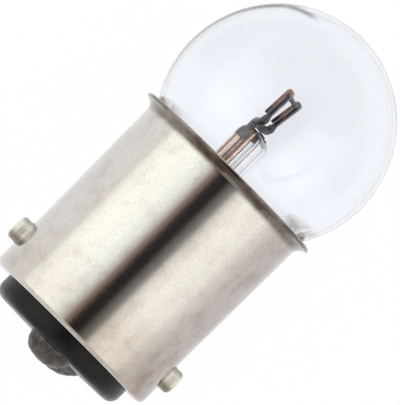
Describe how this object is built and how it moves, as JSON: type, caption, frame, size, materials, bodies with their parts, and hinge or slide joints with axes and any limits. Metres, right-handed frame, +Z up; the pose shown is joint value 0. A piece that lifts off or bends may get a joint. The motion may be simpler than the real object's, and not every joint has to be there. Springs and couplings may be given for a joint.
{
  "type": "vehicle signal bulb",
  "caption": "Small clear round globe signal lamp with one filament on a plated two-contact bayonet cap, lying on its side.",
  "frame": {"origin": "on the surface the bulb lies on, below the middle of its length", "axes": "+X along the bulb from its contacts to its globe, level (the bulb's own axis rises towards the globe by about 3.7 degrees), +Y along the line of the two bayonet pins, +Z up"},
  "size_m": [0.0345, 0.018, 0.018],
  "materials": {
    "clear_glass": "clear blown glass, polished",
    "stem_glass": "clear drawn and pinched glass",
    "cap_nickel": "satin nickel plating on drawn brass",
    "pin_nickel": "bright nickel plating on brass",
    "black_insulator": "black fused glass, smooth",
    "contact_solder": "dull soft solder",
    "eyelet_brass": "stamped brass",
    "copper_wire": "drawn copper",
    "lead_metal": "dark plated iron wire",
    "tungsten": "drawn tungsten",
    "cap_cement": "baked basing cement"
  },
  "bodies": {
    "root": {"glass_globe": "clear_glass", "glass_stem": "stem_glass", "exhaust_tube": "stem_glass", "cap_shell": "cap_nickel", "bayonet_pin_left": "pin_nickel", "bayonet_pin_right": "pin_nickel", "insulator": "black_insulator", "solder_contact_upper": "contact_solder", "solder_contact_lower": "contact_solder", "contact_eyelet_upper": "eyelet_brass", "contact_eyelet_lower": "eyelet_brass", "seal_wire_near": "copper_wire", "seal_wire_far": "copper_wire", "outer_lead_near": "copper_wire", "outer_lead_far": "copper_wire", "inner_lead_near": "lead_metal", "inner_lead_far": "lead_metal", "filament": "tungsten", "basing_cement": "cap_cement"}
  },
  "joints": []
}
